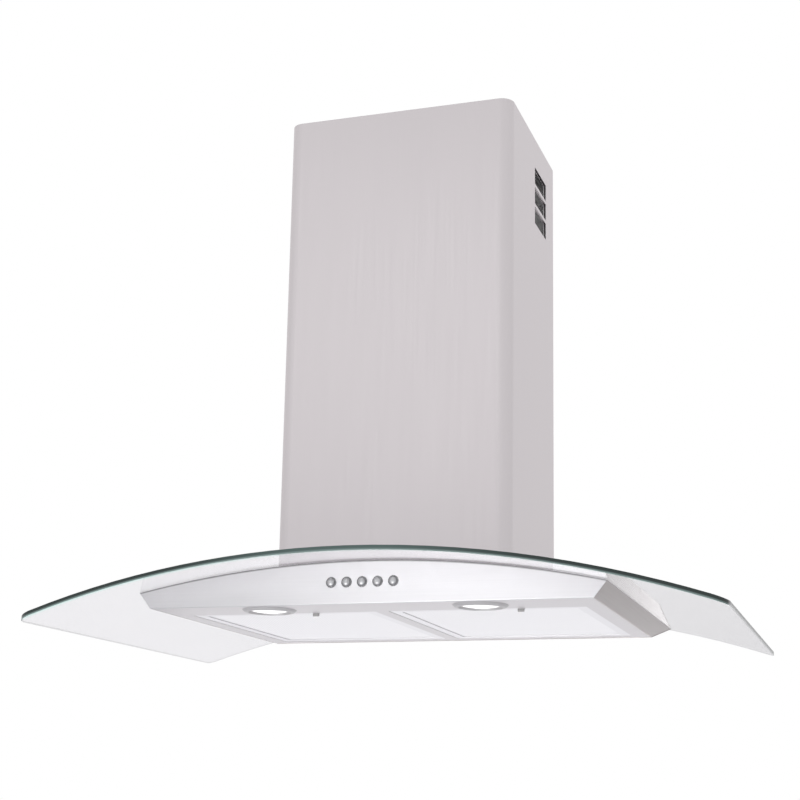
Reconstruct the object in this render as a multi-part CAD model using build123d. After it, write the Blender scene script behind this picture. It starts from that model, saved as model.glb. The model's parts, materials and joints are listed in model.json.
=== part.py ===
from build123d import *
from math import asin, cos, degrees, radians, sin, sqrt
import os

# Ceiling-hung range hood with an arched glass canopy.
# Millimetres, +Z up, front towards -Y. The origin is on the ceiling face, on the chimney's axis.

# ---------------------------------------------------------------- driving dimensions
chimney_height = 640.0          # ceiling face down to the glass, on the centre line
chimney_width = 322.0
chimney_depth = 272.0
chimney_corner = 18.0
cover_sheet = 0.8
cover_gap = 2.5                 # between the outer and the inner chimney cover
inner_cover_length = 300.0
lift_travel = 240.0             # how far the hood hangs down on its adjustable frame
cover_rise = 0.6                # outer cover above the glass
cover_screw_rise = 6.0          # side screws above the crown of the glass
cover_screw_radius = 1.7
cover_screw_head = 3.4
screw_reach = 6.0               # side screws inside the piece that holds them

glass_width = 900.0
glass_depth = 600.0
glass_sheet = 6.0
glass_rise = 73.0               # height of the arch over its full width
glass_bow = 16.0                # how far the front edge bows forward of its corners
glass_behind = 288.0            # rear edge behind the chimney's axis
glass_front_corner = 22.0
glass_rear_corner = 12.0

body_drop = 60.0                # bottom of the body below the top of the glass
body_bottom_width = 577.0
body_top_width = 609.6
fascia_setback = 74.0           # fascia behind the front edge of the glass
rear_setback = 24.0             # top of the rear panel ahead of the rear edge of the glass
rear_slope = 80.0               # how far the rear panel leans back over its height
body_sheet = 1.0
fascia_return = 8.0
pan_rim = 9.0                   # turned-up rims of the pan under the body
rear_clear = 6.0                # side panels and pan stop short of the rear panel
deck_clear = 1.2                # between the deck and the sides
deck_setback = 8.0              # deck ahead of the top of the rear panel
deck_bow = 11.0                 # rear edge of the deck, middle behind its ends

seam = 0.3                      # between two pieces that do not touch
snug = 0.1                      # between two curved pieces that lie on each other
running = 0.05                  # radial play of a shaft in its bearing
tight = 0.02                    # radial play of a pin or shaft held in its seat
past = 5.0                      # how far a cutter runs past what it cuts

deck_gap = 2.2                  # room for the gasket between the glass and the deck
flange_sheet = 1.2
airway_half_x = 130.0           # outside of the tube that joins the canopy to the blower
airway_half_y = 101.0
airway_corner = 14.0
airway_play = 2.5               # from the tube to the edge of the hole in the glass
airway_overlap = 14.0           # tube inside the blower box
collar_gap = 1.0                # from the airway's flange to the outer cover
flange_clip = 14.0              # clipped corners of the flange
lip_height = 20.0
gasket_border = 12.0            # rubber outside the glass screws

vent_width = 70.0
vent_height = 25.0
vent_pitch = 30.0
vent_count = 3
vent_first = 44.0               # top of the first vent below the ceiling
vent_centre_y = 38.0

button_count = 5
button_pitch = 20.3
button_drop = 33.0              # button axis below the top of the glass
button_radius = 4.8
button_travel = 2.5
button_proud = 4.2
collar_wall = 0.9
stem_length = 10.0              # button stem behind the fascia
switch_back = 7.0               # switch behind the fascia
switch_depth = 20.0
switch_border = 10.0

front_strip = 78.0              # lamp strip between the fascia and the filters
lamp_x = 140.0
lamp_back = 42.0                # lamp centre behind the fascia
lamp_lens_radius = 26.0
lamp_bezel_radius = 35.0
bezel_overlap = 5.0             # bezel outside the hole in the pan

filter_open_in = 9.0            # filter opening from the centre line ...
pan_border = 24.5               # steel between the filter opening and the side
pan_rear_border = 24.0
filter_gap = 0.5
filter_thick = 9.0
filter_rim = 13.0
filter_sheet = 0.8
latch_offset = 44.0             # latch to the right of its filter's centre
latch_travel = 5.0

post_sheet = 1.5
lower_leg = 20.0
upper_leg = 24.0
post_gap = 5.9                  # from the upper posts to the inner cover, room for bolt heads
upper_post_length = 338.0
lower_post_top = 40.0           # top of the lower posts below the ceiling
bolt_radius = 2.5
bolt_row = 20.0                 # bolt below the top of each lower post
bolt_inset = 10.0
bolt_across = 8.0               # hexagon of the frame bolts and nuts
fixing_inset = 7.5              # glass screws inside the posts
foot_reach = 18.0
strap_sheet = 1.2
strap_height = 14.0
strap_inset = 22.0              # straps inside the ends of the blower box

plate_sheet = 2.0
plate_flange = 20.0
plate_wall = 1.5
inner_screw_z = -12.0
duct_hole_radius = 80.0
ceiling_bolt_spacing = 200.0
ceiling_bolt_radius = 4.0

blower_rise = 28.0              # blower box above the crown of the glass
blower_height = 214.0
fan_y = -9.0
fan_rise = 112.0                # fan axis above the bottom of the blower box
fan_radius = 65.0
fan_half_width = 55.0
blade_count = 28
blade_depth = 9.0
scroll_step = 9.0               # growth of the scroll radius per quarter turn
scroll_first = 74.0
scroll_half_width = 62.0
scroll_wall = 1.5
scroll_lip = 5.0
inlet_radius = 57.0
motor_radius = 42.0
motor_length = 50.0
motor_start = 7.0               # motor beside the middle of the impeller
shaft_radius = 4.0
bracket_sheet = 2.4

spigot_radius = 74.5            # goes inside a 150 mm duct
spigot_wall = 1.6
spigot_length = 42.0
transition_height = 48.0        # from the blower box up to the spigot
flap_axis_rise = 12.0           # flap axis above the bottom of the spigot
flap_pin_radius = 2.0
flap_sheet = 1.4
knuckle = 20.0                  # length of each hinge barrel of the flaps
knuckle_gap = 1.0
knuckle_radius = 3.4

tray_width = 110.0              # control box on the left of the blower
tray_height = 120.0
tray_depth = 20.0
tray_wall = 2.0
tray_drop = 42.0                # top of the control box below the top of the blower box
tray_middle_y = -5.0
gland_inset = 22.0              # cable gland ahead of the tray's rear wall
gland_thread = 6.1
cable_radius = 3.6

capacitor_rise = 67.0           # above the bottom of the blower box
capacitor_length = 50.0
capacitor_radius = 10.0
driver_from_edge = 82.8         # power supply inside the body's edge
driver_half = 35.0
driver_ear = 8.0

# ---------------------------------------------------------------- derived sizes
glass_top = -chimney_height
arch_radius = ((glass_width / 2) ** 2 + glass_rise**2) / (2 * glass_rise)
arch_centre_z = glass_top - arch_radius
under_glass = arch_radius - glass_sheet
deck_top = under_glass - deck_gap
glass_front = glass_behind - glass_depth
body_front = glass_front + fascia_setback
body_rear_top = glass_behind - rear_setback
body_rear_bottom = body_rear_top - rear_slope
filter_open_out = body_bottom_width / 2 - pan_border
deck_bottom = deck_top - body_sheet
flange_low = arch_radius + snug
flange_high = flange_low + flange_sheet
foot_low = flange_high + snug
foot_high = foot_low + post_sheet
clamp_top = arch_centre_z + foot_high + past
cover_screw_z = glass_top + cover_screw_rise
body_bottom = glass_top - body_drop
blower_bottom = glass_top + blower_rise
blower_top = blower_bottom + blower_height
fan_z = blower_bottom + fan_rise
spigot_bottom = blower_top + transition_height
spigot_top = spigot_bottom + spigot_length
flap_axis_z = spigot_bottom + flap_axis_rise
fascia_back = body_front + body_sheet
chimney_half_x = chimney_width / 2
chimney_half_y = chimney_depth / 2
cover_in_x = chimney_half_x - cover_sheet
cover_in_y = chimney_half_y - cover_sheet
inner_half_x = cover_in_x - cover_gap
inner_half_y = cover_in_y - cover_gap
inner_corner = chimney_corner - cover_sheet - cover_gap
post_face_x = inner_half_x - cover_sheet - post_gap
post_face_y = inner_half_y - cover_sheet - post_gap
plate_half_x = inner_half_x - cover_sheet - seam
plate_half_y = inner_half_y - cover_sheet - seam
lower_face_x = post_face_x - post_sheet - seam
lower_face_y = post_face_y - post_sheet - seam
box_side = airway_half_x + seam + snug + cover_sheet + snug
flange_half_x = cover_in_x - collar_gap
flange_half_y = cover_in_y - collar_gap
filter_front = body_front + front_strip
filter_rear = body_rear_bottom - pan_rear_border
filter_mid_x = (filter_open_in + filter_open_out) / 2
button_z = glass_top - button_drop
lamp_y = body_front + lamp_back
lamp_hole_radius = lamp_bezel_radius - bezel_overlap
collar_bore = button_radius + seam
collar_outer = collar_bore + collar_wall
fixing_x = lower_face_x - post_sheet - fixing_inset
fixing_y = lower_face_y - post_sheet - fixing_inset
tray_high = blower_top - tray_drop
tray_low = tray_high - tray_height
tray_front = tray_middle_y - tray_width / 2
tray_rear = tray_middle_y + tray_width / 2


# ---------------------------------------------------------------- small helpers
def arch_z(x, radius):
    """Height of a face that runs concentric with the arched glass."""
    return arch_centre_z + sqrt(radius**2 - x**2)


def block(x, y, z):
    """A box from three (low, high) pairs."""
    size = [high - low for low, high in (x, y, z)]
    middle = [(high + low) / 2 for low, high in (x, y, z)]
    return Pos(*middle) * Box(*size)


def inset_pair(pair, amount):
    """A (low, high) pair drawn in at both ends."""
    return (pair[0] + amount, pair[1] - amount)


def rounded_block(half_x, half_y, corner, low, high):
    return extrude(Pos(0, 0, low) * RectangleRounded(2 * half_x, 2 * half_y, corner), high - low)


def rod(radius, low, high, at=(0, 0), axis="Z"):
    """A cylinder along X, Y or Z; at holds the two other coordinates in order."""
    length = high - low
    middle = (high + low) / 2
    if axis == "X":
        return Pos(middle, *at) * Rot(0, 90, 0) * Cylinder(radius, length)
    if axis == "Y":
        return Pos(at[0], middle, at[1]) * Rot(90, 0, 0) * Cylinder(radius, length)
    return Pos(*at, middle) * Cylinder(radius, length)


def hexagon_rod(across, low, high, at=(0, 0), axis="Z"):
    face = RegularPolygon(across / 2, 6, major_radius=False)
    if axis == "X":
        return along_x(Pos(*at) * face, low, high)
    return extrude(Pos(*at, low) * face, high - low)


def along_y(face, low, high):
    """Sweep a face drawn in X and Z from y = low to y = high."""
    return extrude(Plane.XZ.offset(-low) * face, -(high - low))


def along_x(face, low, high):
    """Sweep a face drawn in Y and Z from x = low to x = high."""
    return extrude(Plane.YZ.offset(low) * face, high - low)


def polygon(*points):
    return make_face(Polyline(*points, close=True))


def turned(*points):
    """A solid of revolution about Z from (radius, height) points."""
    return revolve(Plane.XZ * polygon(*points), Axis.Z)


def arch_band(outer, inner, half_x, low_y, high_y):
    """A sheet that follows the arch, between two concentric radii."""
    top = ThreePointArc(
        (-half_x, arch_z(half_x, outer)), (0, arch_z(0, outer)), (half_x, arch_z(half_x, outer))
    )
    low = ThreePointArc(
        (half_x, arch_z(half_x, inner)), (0, arch_z(0, inner)), (-half_x, arch_z(half_x, inner))
    )
    face = make_face([top, Line(top @ 1, low @ 0), low, Line(low @ 1, top @ 0)])
    return along_y(face, low_y, high_y)


def below_arch(radius):
    """Everything under an arched face, wider, longer and deeper than the body."""
    half = glass_width / 2
    floor = body_bottom - glass_rise
    side = arch_z(half, radius)
    top = ThreePointArc((-half, side), (0, arch_z(0, radius)), (half, side))
    rest = Polyline((half, side), (half, floor), (-half, floor), (-half, side))
    return along_y(make_face([top, rest]), -glass_depth, glass_depth)


def on_arch(shape, x):
    """Move a shape made over the arch's crown round to x, still square to the glass."""
    hub = Pos(0, 0, arch_centre_z)
    return hub * Rot(0, degrees(asin(x / arch_radius)), 0) * hub.inverse() * shape


def corners():
    """The four corners as signs."""
    return [(sx, sy) for sx in (-1, 1) for sy in (-1, 1)]


def fixing_hole(radius, sx, sy):
    """Cutter for one of the four screws that clamp the glass."""
    drill = rod(radius, body_bottom, clamp_top, (0, sy * fixing_y))
    return on_arch(drill, sx * fixing_x)


def fixing_holes(radius):
    return [fixing_hole(radius, sx, sy) for sx, sy in corners()]


def airway_cut(margin):
    """Cutter that is wider than the airway tube by a margin, up into the blower box."""
    half_x = airway_half_x + margin
    half_y = airway_half_y + margin
    return rounded_block(half_x, half_y, airway_corner + margin, body_bottom, blower_top)


def side_drill(radius, z):
    """Cutter for the screws in the middle of both chimney sides."""
    return rod(radius, -chimney_width, chimney_width, (0, z), "X")


# ---------------------------------------------------------------- glass canopy
def glass_outline(low_z, high_z):
    half = glass_width / 2
    front = glass_front + glass_bow
    bow = ThreePointArc((-half, front), (0, glass_front), (half, front))
    rest = Polyline((half, front), (half, glass_behind), (-half, glass_behind), (-half, front))
    face = make_face([bow, rest])
    by_y = face.vertices().sort_by(Axis.Y)
    face = fillet(by_y[:2], glass_front_corner)
    face = fillet(face.vertices().sort_by(Axis.Y)[-2:], glass_rear_corner)
    return extrude(Pos(0, 0, low_z) * face, high_z - low_z)


def glass_canopy():
    sheet = arch_band(arch_radius, under_glass, glass_width / 2 + past, -glass_depth, glass_depth)
    glass = sheet & glass_outline(glass_top - 2 * glass_rise, glass_top + past)
    glass -= airway_cut(airway_play)
    for hole in fixing_holes(bolt_radius + 1.0):
        glass -= hole
    return glass


def glass_gasket():
    """A rubber ring between the glass and the deck, round the airway hole."""
    half_x = fixing_x + gasket_border
    half_y = fixing_y + gasket_border
    ring = arch_band(under_glass - snug, deck_top + snug, half_x, -half_y, half_y)
    ring -= airway_cut(seam)
    for hole in fixing_holes(bolt_radius + 0.5):
        ring -= hole
    return ring


# ---------------------------------------------------------------- canopy body
def side_x(z):
    """Half width of the body's outside at a height: its sides lean outwards."""
    lean = (body_top_width - body_bottom_width) / 2
    side_top = arch_z(body_top_width / 2, under_glass)
    return body_bottom_width / 2 + lean * (z - body_bottom) / (side_top - body_bottom)


def body_space(inset, roof, low_y, high_y):
    """The inside of the leaning sides under an arched roof."""
    low = body_bottom
    high = glass_top
    face = polygon(
        (-side_x(low) + inset, low),
        (side_x(low) - inset, low),
        (side_x(high) - inset, high),
        (-side_x(high) + inset, high),
    )
    return along_y(face, low_y, high_y) & below_arch(roof)


def fascia_panel():
    """Folded front: an upright face with an arched top and a return along its bottom."""
    low = body_bottom
    profile = polygon(
        (body_front, low),
        (body_front + fascia_return, low),
        (body_front + fascia_return, low + body_sheet),
        (fascia_back, low + body_sheet),
        (fascia_back, glass_top),
        (body_front, glass_top),
    )
    sheet = along_x(profile, -body_top_width, body_top_width)
    fold = sheet.edges().filter_by(Axis.X).sort_by(lambda e: (e.center().Y + e.center().Z))[0]
    sheet = fillet(fold, 0.9 * body_sheet)
    sheet &= body_space(0, under_glass - seam, body_front - past, body_front + fascia_return + past)
    side = min(side_x(low), side_x(low + body_sheet)) - body_sheet - seam
    for end in ((-body_top_width, -side), (side, body_top_width)):
        sheet -= block(end, (fascia_back, body_front + fascia_return + past), (low - past, low + past))
    for index in range(button_count):
        at = (button_x(index), button_z)
        sheet -= rod(collar_outer + snug, body_front - past, body_front + past, at, "Y")
    return sheet


def side_panel(side):
    """One leaning side; its rear end is cut to the slope of the rear panel."""
    top_z = arch_z(body_top_width / 2, under_glass - seam)
    front = fascia_back + snug
    run = (body_rear_top - body_rear_bottom) / (top_z - body_bottom)
    rear_low = body_rear_bottom - rear_clear
    rear_high = rear_low + run * (top_z - body_bottom) - 1
    points = [
        (side * side_x(body_bottom), front, body_bottom),
        (side * side_x(body_bottom), rear_low, body_bottom),
        (side * side_x(top_z), rear_high, top_z),
        (side * side_x(top_z), front, top_z),
    ]
    face = Face(Wire.make_polygon([Vector(*p) for p in points]))
    return extrude(face, amount=body_sheet, dir=(-side, 0, 0))


def rear_panel():
    """Ruled sheet from the straight bottom edge out to the arched edge under the glass."""
    roof = under_glass - seam
    half_low = side_x(body_bottom)
    half_high = side_x(arch_z(body_top_width / 2, roof))
    start = (-half_low, body_rear_bottom, body_bottom)
    end = (half_low, body_rear_bottom, body_bottom)
    low = Edge.make_line(start, end)
    high = Edge.make_three_point_arc(
        (-half_high, body_rear_top, arch_z(half_high, roof)),
        (0, body_rear_top, arch_z(0, roof)),
        (half_high, body_rear_top, arch_z(half_high, roof)),
    )
    face = Face.make_surface_from_curves(low, high)
    sheet = Solid.thicken(face, body_sheet, normal_override=Vector(0, -1, 1))
    room = block((-glass_width / 2, glass_width / 2), (0, glass_depth), (body_bottom, glass_top))
    return sheet & below_arch(roof) & room


def canopy_deck():
    """Arched top sheet under the glass, with the airway hole and four square weld nuts."""
    half = side_x(arch_z(body_top_width / 2, deck_bottom)) - body_sheet - deck_clear
    rear = body_rear_top - deck_setback
    front = fascia_back + seam
    deck = arch_band(deck_top, deck_bottom, half, front, rear)
    rear_edge = ThreePointArc((-half, rear - deck_bow), (0, rear), (half, rear - deck_bow))
    sides = Polyline(rear_edge @ 1, (half, front), (-half, front), rear_edge @ 0)
    deck &= extrude(Pos(0, 0, body_bottom) * make_face([rear_edge, sides]), body_drop)
    low = arch_z(0, deck_bottom)
    for sx, sy in corners():
        middle = sy * fixing_y
        nut = block((-4.5, 4.5), (middle - 4.5, middle + 4.5), (low - 5, low + body_sheet / 2))
        deck += on_arch(nut, sx * fixing_x)
    deck -= airway_cut(seam)
    for hole in fixing_holes(bolt_radius + snug):
        deck -= hole
    return deck


def underside_frame():
    """Pan that closes the body from below: lamp holes, two filter openings, turned-up rims."""
    low = body_bottom
    floor = low + body_sheet
    high = low + pan_rim
    front = body_front + fascia_return + seam
    rear = body_rear_bottom - rear_clear
    half = min(side_x(low), side_x(high)) - body_sheet - 0.5
    wall = body_sheet
    pan = block((-half, half), (front, rear), (low, high))
    pan -= block((wall - half, half - wall), (front + wall, rear - wall), (floor, high + past))
    for side in (-1, 1):
        inner, outer = sorted((side * filter_open_in, side * filter_open_out))
        opening = (filter_front, filter_rear)
        pan += block((inner - wall, outer + wall), opening, (floor, high - 1.5))
        pan -= block((inner, outer), opening, (low - past, high))
        pan -= rod(lamp_hole_radius, low - past, floor + past, (side * lamp_x, lamp_y))
    return pan


# ---------------------------------------------------------------- airway, frame and covers
def airway_collar():
    """Tube through the glass with a flange that follows the arch and two screw lips."""
    half_x = flange_half_x
    half_y = flange_half_y
    clip = flange_clip
    tube = rounded_block(
        airway_half_x, airway_half_y, airway_corner, glass_top - body_drop / 2, blower_bottom + airway_overlap
    )
    tube -= below_arch(deck_bottom)
    plan = polygon(
        (-half_x, clip - half_y), (clip - half_x, -half_y), (half_x - clip, -half_y), (half_x, clip - half_y),
        (half_x, half_y - clip), (half_x - clip, half_y), (clip - half_x, half_y), (-half_x, half_y - clip)
    )
    flange = arch_band(flange_high, flange_low, half_x, -half_y, half_y)
    flange &= extrude(Pos(0, 0, body_bottom) * plan, body_drop + past)
    part = tube + flange
    lip_low = arch_z(half_x, flange_low) + 0.2
    lip_out = half_x - 0.2
    lip_half = airway_half_y - airway_corner
    lip = block((lip_out - flange_sheet, lip_out), (-lip_half, lip_half), (lip_low, lip_low + lip_height))
    part += lip
    part += mirror(lip, Plane.YZ)
    part -= airway_cut(-flange_sheet)
    for hole in fixing_holes(bolt_radius + 0.5):
        part -= hole
    return part - side_drill(cover_screw_radius + snug, cover_screw_z)


def vents(low_x, high_x):
    """Cutters for the vent windows in one side of the chimney."""
    window = Rectangle(vent_width, vent_height)
    heights = [-vent_first - vent_height / 2 - vent_pitch * i for i in range(vent_count)]
    return [along_x(Pos(vent_centre_y, z) * window, low_x, high_x) for z in heights]


def cover_tube(half_x, half_y, corner, low, high):
    tube = rounded_block(half_x, half_y, corner, low, high)
    return tube - rounded_block(
        half_x - cover_sheet, half_y - cover_sheet, corner - cover_sheet, low - 1, high + 1
    )


def outer_cover():
    low = arch_z(chimney_half_x, arch_radius)
    tube = cover_tube(chimney_half_x, chimney_half_y, chimney_corner, low, -1)
    tube -= below_arch(arch_radius + cover_rise)
    for side in (-1, 1):
        for window in vents(*sorted((side * (chimney_half_x - past), side * (chimney_half_x + past)))):
            tube -= window
    return tube - side_drill(cover_screw_radius + seam + snug, cover_screw_z)


def inner_cover():
    tube = cover_tube(inner_half_x, inner_half_y, inner_corner, -plate_sheet - inner_cover_length, -0.5)
    for side in (-1, 1):
        for window in vents(*sorted((side * (inner_half_x - past), side * (inner_half_x + past)))):
            tube -= window
    return tube - side_drill(cover_screw_radius + seam + snug, inner_screw_z)


def cover_screw(side, z, face_x, inner_x):
    """Low-head screw along X, in the middle of one side."""
    screw = rod(cover_screw_head, face_x, face_x + 1.6, (0, z), "X")
    screw += rod(cover_screw_radius, inner_x, face_x + snug, (0, z), "X")
    return mirror(screw, Plane.YZ) if side < 0 else screw


def cover_screws():
    reach = flange_half_x - screw_reach
    return [cover_screw(side, cover_screw_z, chimney_half_x + running, reach) for side in (-1, 1)]


def inner_cover_screws():
    reach = plate_half_x - screw_reach
    return [cover_screw(side, inner_screw_z, inner_half_x + running, reach) for side in (-1, 1)]


def ceiling_plate():
    """Flanged plate with the duct hole and four screw holes."""
    plate = block((-plate_half_x, plate_half_x), (-plate_half_y, plate_half_y), (-plate_flange, 0))
    wall = plate_wall
    plate = fillet(plate.edges().filter_by(Axis.Z), inner_corner - wall)
    plate -= rounded_block(
        plate_half_x - wall, plate_half_y - wall, inner_corner - 2 * wall, -plate_flange - past, -plate_sheet
    )
    plate -= rod(duct_hole_radius, -plate_sheet - 1, 1)
    half = ceiling_bolt_spacing / 2
    for sx, sy in corners():
        plate -= rod(ceiling_bolt_radius, -plate_sheet - 1, 1, (sx * half, sy * half))
    return plate - side_drill(cover_screw_radius + snug, inner_screw_z)


def angle_bar(face_x, face_y, leg, low, high):
    """Upright angle bar in the +X +Y corner."""
    bar = block((face_x - leg, face_x), (face_y - leg, face_y), (low, high))
    bar -= block(
        (face_x - leg - 1, face_x - post_sheet), (face_y - leg - 1, face_y - post_sheet), (low - 1, high + 1)
    )
    return bar


def to_corner(shape, sx, sy):
    if sx < 0:
        shape = mirror(shape, Plane.YZ)
    if sy < 0:
        shape = mirror(shape, Plane.XZ)
    return shape


def bolt_y():
    return lower_face_y - bolt_inset


def lower_post():
    """Angle bar that stands on the airway flange, with a nut pressed in near its top."""
    low = arch_z(lower_face_x, arch_radius)
    bar = angle_bar(lower_face_x, lower_face_y, lower_leg, low, -lower_post_top)
    bar -= below_arch(foot_low)
    foot = arch_band(foot_high, foot_low, lower_face_x, lower_face_y - foot_reach, lower_face_y)
    foot &= block((lower_face_x - foot_reach, lower_face_x), (0, glass_depth), (body_bottom, clamp_top))
    bar += foot
    bar -= fixing_hole(bolt_radius + 0.5, 1, 1)
    at = (bolt_y(), -lower_post_top - bolt_row)
    inside = lower_face_x - post_sheet
    bar += hexagon_rod(bolt_across, inside - 4.5, inside + 0.2, at, "X")
    return bar - rod(bolt_radius + snug, inside - past, inside + past, at, "X")


def upper_post():
    """Angle bar welded under the ceiling plate, with a long slot for the height bolt."""
    top = -plate_sheet - snug
    bar = angle_bar(post_face_x, post_face_y, upper_leg, -upper_post_length, top)
    leg_x = (post_face_x - upper_leg, post_face_x)
    leg_y = (post_face_y - upper_leg, post_face_y)
    bar += block(leg_x, leg_y, (top - post_sheet, top))
    slot_high = -lower_post_top - bolt_row
    slot_low = slot_high - lift_travel
    width = 2 * (bolt_radius + seam)
    slot = SlotCenterToCenter(slot_high - slot_low, width, rotation=90)
    slot = Pos(bolt_y(), (slot_high + slot_low) / 2) * slot
    return bar - along_x(slot, post_face_x - past, post_face_x + past)


def frame_bolts():
    """Four hexagon bolts that clamp the sliding posts, heads outwards."""
    seat = post_face_x + seam
    at = (bolt_y(), -lower_post_top - bolt_row)
    bolt = hexagon_rod(bolt_across, seat, seat + 3.2, at, "X")
    bolt += rod(bolt_radius, lower_face_x - post_sheet - 7, seat + snug, at, "X")
    return [to_corner(bolt, sx, sy) for sx, sy in corners()]


def glass_screws():
    """Four screws square to the arch, through post foot, flange, glass and deck."""
    seat = arch_z(0, foot_high) + snug
    group = []
    tip = arch_z(0, deck_bottom) - 6.5
    for sx, sy in corners():
        at = (0, sy * fixing_y)
        screw = rod(4.4, seat, seat + 2.6, at) + rod(bolt_radius, tip, seat + 0.1, at)
        group.append(on_arch(screw, sx * fixing_x))
    return group


# ---------------------------------------------------------------- blower
def blower_box():
    """Sheet box over the airway tube, open below and with the blower's outlet in its top."""
    gap = seam + snug
    in_x = airway_half_x + gap
    in_y = airway_half_y + gap
    sheet = cover_sheet
    box = rounded_block(in_x + sheet, in_y + sheet, airway_corner + gap + sheet, blower_bottom, blower_top)
    box -= rounded_block(in_x, in_y, airway_corner + gap, blower_bottom - 1, blower_top - sheet)
    mouth = (-scroll_half_width, scroll_half_width)
    return box - block(mouth, scroll_outlet(), (blower_top - past, blower_top + past))


def blower_brackets():
    """Eight Z-shaped straps between the blower box and the lower posts."""
    reach = lower_face_x - post_sheet - snug
    rear = lower_face_y - post_sheet - snug
    bend = rear - strap_height
    front = airway_half_y - airway_corner - foot_reach
    sheet = strap_sheet
    group = []
    for low in (blower_bottom + strap_inset, blower_top - strap_inset - strap_height):
        z = (low, low + strap_height)
        strap = block((box_side, box_side + sheet), (front, bend), z)
        strap += block((box_side, reach), (bend - sheet, bend), z)
        strap += block((reach - sheet, reach), (bend - sheet, rear), z)
        group += [to_corner(strap, sx, sy) for sx, sy in corners()]
    return group


def scroll_outlet():
    """Front and rear of the scroll's mouth in Y."""
    half = scroll_step / 2
    return (fan_y - half, fan_y + half + scroll_first + 2 * scroll_step)


def scroll_face(grow, top):
    """Four-centre scroll outline with an upright mouth, grown by an offset."""
    half = scroll_step / 2
    first = scroll_first + grow
    second = first + scroll_step
    third = second + scroll_step
    cy = fan_y
    cz = fan_z
    skip = degrees(asin(grow / first))
    one = CenterArc((cy - half, cz - half), first, 90 + skip, 90 - skip)
    two = CenterArc((cy + half, cz - half), second, 180, 90)
    three = CenterArc((cy + half, cz + half), third, 270, 90)
    rest = Polyline(three @ 1, (cy + half + third, top), (cy - half - grow, top), one @ 0)
    return make_face([one, two, three, rest])


def scroll_half(side):
    """Half of the fan housing: cheek with a rolled inlet, outer wall and joint lip."""
    top = blower_top - cover_sheet - seam
    wide = scroll_half_width
    shell = along_x(scroll_face(scroll_wall, top), snug / 2, wide)
    shell += along_x(scroll_face(scroll_lip, top), snug / 2, 2)
    shell -= along_x(scroll_face(0, top + 5), -1, wide - scroll_wall)
    shell -= rod(inlet_radius, wide - 5, wide + 5, (fan_y, fan_z), "X")
    lip = revolve(
        Plane.XZ * polygon(
            (inlet_radius, -5), (inlet_radius + 1.2, -5), (inlet_radius + 1.2, -0.5),
            (inlet_radius + 5, -0.5), (inlet_radius + 5, 1.2), (inlet_radius, 1.2)
        ),
        Axis.Z,
    )
    shell += Pos(wide, fan_y, fan_z) * Rot(0, 90, 0) * lip
    return mirror(shell, Plane.YZ) if side < 0 else shell


def blade():
    """One forward-curved blade, folded once, as a thin section."""
    inner = fan_radius - blade_depth
    outer = fan_radius - 0.6
    lean = radians(7)
    tip_x = outer * cos(lean)
    tip_y = outer * sin(lean)
    mid_x = (inner + outer) / 2 + 0.6
    mid_y = tip_y * 0.28
    wall = 0.8
    return polygon(
        (inner, 0), (mid_x, mid_y), (tip_x, tip_y),
        (tip_x - 0.5, tip_y + 0.7), (mid_x - 0.5, mid_y + wall), (inner - 0.1, wall)
    )


def wheel_disc(radius, hole, low, high):
    """Flat ring with one side for each blade."""
    ring = RegularPolygon(radius, blade_count)
    if hole:
        ring -= RegularPolygon(hole, blade_count)
    return extrude(Pos(0, 0, low) * ring, high - low)


def impeller():
    """Double-inlet squirrel cage: hub plate in the middle, a ring at each end."""
    half = fan_half_width
    inner = fan_radius - blade_depth
    wheel = wheel_disc(fan_radius, 0, -0.8, 0.8)
    wheel += wheel_disc(fan_radius, inner + 1.5, half - 1.6, half)
    wheel += wheel_disc(fan_radius, inner + 1.5, -half, -half + 1.6)
    for index in range(4):
        wheel -= Rot(0, 0, 90 * index) * Pos(34, 0, 0) * Box(16, 16, 5)
    wheel += Pos(0, 0, -6) * Cylinder(9, 14)
    vane = extrude(Pos(0, 0, -half + 0.4) * blade(), 2 * half - 0.8)
    wheel += [Rot(0, 0, 360 / blade_count * index) * vane for index in range(blade_count)]
    wheel -= Cylinder(shaft_radius + tight, 2 * half)
    return Pos(0, fan_y, fan_z) * Rot(0, 90, 0) * wheel


def motor_shaft():
    return rod(shaft_radius, -15, 36, (fan_y, fan_z), "X")


def motor():
    """Capsule motor with end bells, vent slots and a blind bearing bore."""
    end = motor_length
    r = motor_radius
    body = turned((0, 0), (14, 0), (r - 6, 5), (r, 11), (r, end - 11), (r - 8, end), (0, end))
    for index in range(6):
        slot = block((r - 6, r + 3), (-4, 4), (end - 24, end - 13))
        body -= Rot(0, 0, 60 * index) * slot
    body -= rod(shaft_radius + running, -past, 32)
    return Pos(motor_start, fan_y, fan_z) * Rot(0, 90, 0) * body


def motor_bracket():
    """Three-armed spider from the motor's outer end to the scroll cheek."""
    sheet = bracket_sheet
    start = motor_start + motor_length + snug
    lift = scroll_half_width + sheet + 0.2 - start
    reach = inlet_radius + 9
    spider = rod(20, 0, sheet) - rod(8, -past, past)
    ring = rod(inlet_radius + 13, lift, lift + sheet) - rod(inlet_radius + 6, 0, lift + past)
    spider += ring
    arm = polygon(
        (14, 0), (24, 0), (reach - 6, lift), (reach, lift), (reach, lift + sheet),
        (reach - 8, lift + sheet), (22, sheet), (14, sheet)
    )
    arm = extrude(Plane.XZ * arm, 5, both=True)
    spider += [Rot(0, 0, 120 * index) * arm for index in range(3)]
    return Pos(start, fan_y, fan_z) * Rot(0, 90, 0) * spider


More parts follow.
